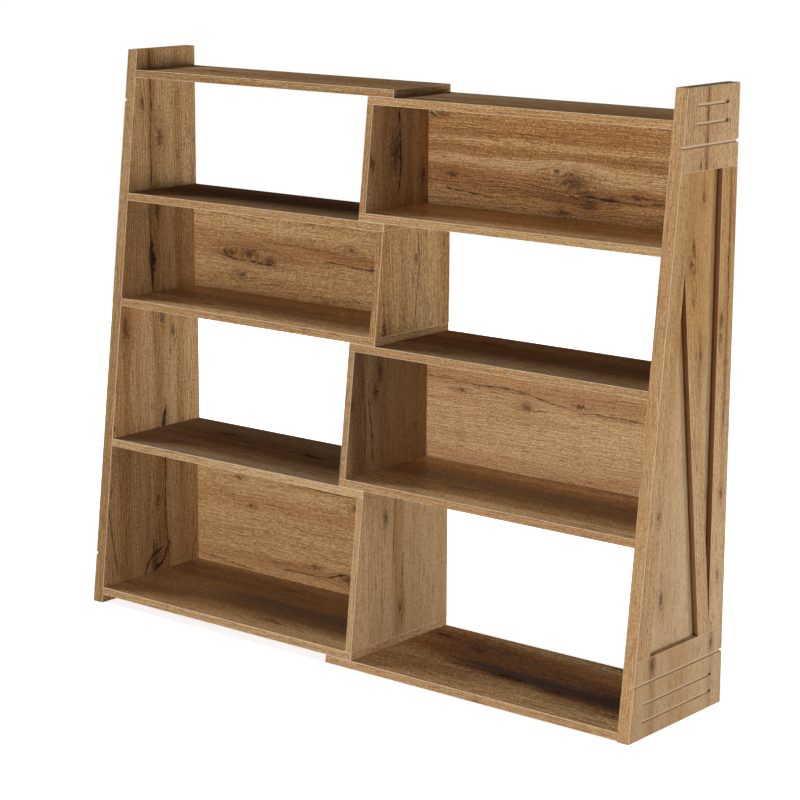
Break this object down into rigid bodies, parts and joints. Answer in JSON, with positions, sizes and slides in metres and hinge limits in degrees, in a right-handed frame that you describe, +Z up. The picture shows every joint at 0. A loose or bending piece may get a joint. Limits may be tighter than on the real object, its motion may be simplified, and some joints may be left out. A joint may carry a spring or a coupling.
{
  "type": "extending bookcase",
  "caption": "Free-standing tapered oak-look bookcase of two interleaved units with stepped lapping shelves; one unit slides into the other to set the width.",
  "frame": {"origin": "on the floor, in the middle of the extended bookcase's width and depth", "axes": "+X to the right seen from the front, +Y to the rear (the wall side), +Z up"},
  "size_m": [1.42, 0.316, 1.2],
  "materials": {
    "oak_board": "satin oak-look laminate",
    "oak_edging": "satin edging strip",
    "oak_back": "satin oak-look panel",
    "dowel_wood": "bare beech",
    "fastener_steel": "zinc plated",
    "cam_zinc": "die-cast zinc"
  },
  "bodies": {
    "left_unit": {"left_bottom_block": "oak_board", "left_brace": "oak_board", "left_cam_bolts": "fastener_steel", "left_cam_locks": "cam_zinc", "left_dowels": "dowel_wood", "left_end_board": "oak_board", "left_end_edging": "oak_edging", "left_front_stile": "oak_board", "left_lower_back": "oak_back", "left_lower_upright": "oak_board", "left_lower_upright_edging": "oak_edging", "left_rear_stile": "oak_board", "left_shelf_1": "oak_board", "left_shelf_1_edging": "oak_edging", "left_shelf_2": "oak_board", "left_shelf_2_edging": "oak_edging", "left_shelf_3": "oak_board", "left_shelf_3_edging": "oak_edging", "left_shelf_4": "oak_board", "left_shelf_4_edging": "oak_edging", "left_shelf_5": "oak_board", "left_shelf_5_edging": "oak_edging", "left_top_block": "oak_board", "left_upper_back": "oak_back", "left_upper_upright": "oak_board", "left_upper_upright_edging": "oak_edging", "left_upright_screws": "fastener_steel"},
    "right_unit": {"right_bottom_block": "oak_board", "right_brace": "oak_board", "right_cam_bolts": "fastener_steel", "right_cam_locks": "cam_zinc", "right_dowels": "dowel_wood", "right_end_board": "oak_board", "right_end_edging": "oak_edging", "right_front_stile": "oak_board", "right_lower_back": "oak_back", "right_lower_upright": "oak_board", "right_lower_upright_edging": "oak_edging", "right_rear_stile": "oak_board", "right_shelf_1": "oak_board", "right_shelf_1_edging": "oak_edging", "right_shelf_2": "oak_board", "right_shelf_2_edging": "oak_edging", "right_shelf_3": "oak_board", "right_shelf_3_edging": "oak_edging", "right_shelf_4": "oak_board", "right_shelf_4_edging": "oak_edging", "right_shelf_5": "oak_board", "right_shelf_5_edging": "oak_edging", "right_top_block": "oak_board", "right_upper_back": "oak_back", "right_upper_upright": "oak_board", "right_upper_upright_edging": "oak_edging", "right_upright_screws": "fastener_steel"}
  },
  "joints": [
    {"name": "extension_slide", "type": "slide", "parent": "left_unit", "child": "right_unit", "axis": [1, 0, 0], "range_m": [-0.649, 0]}
  ]
}
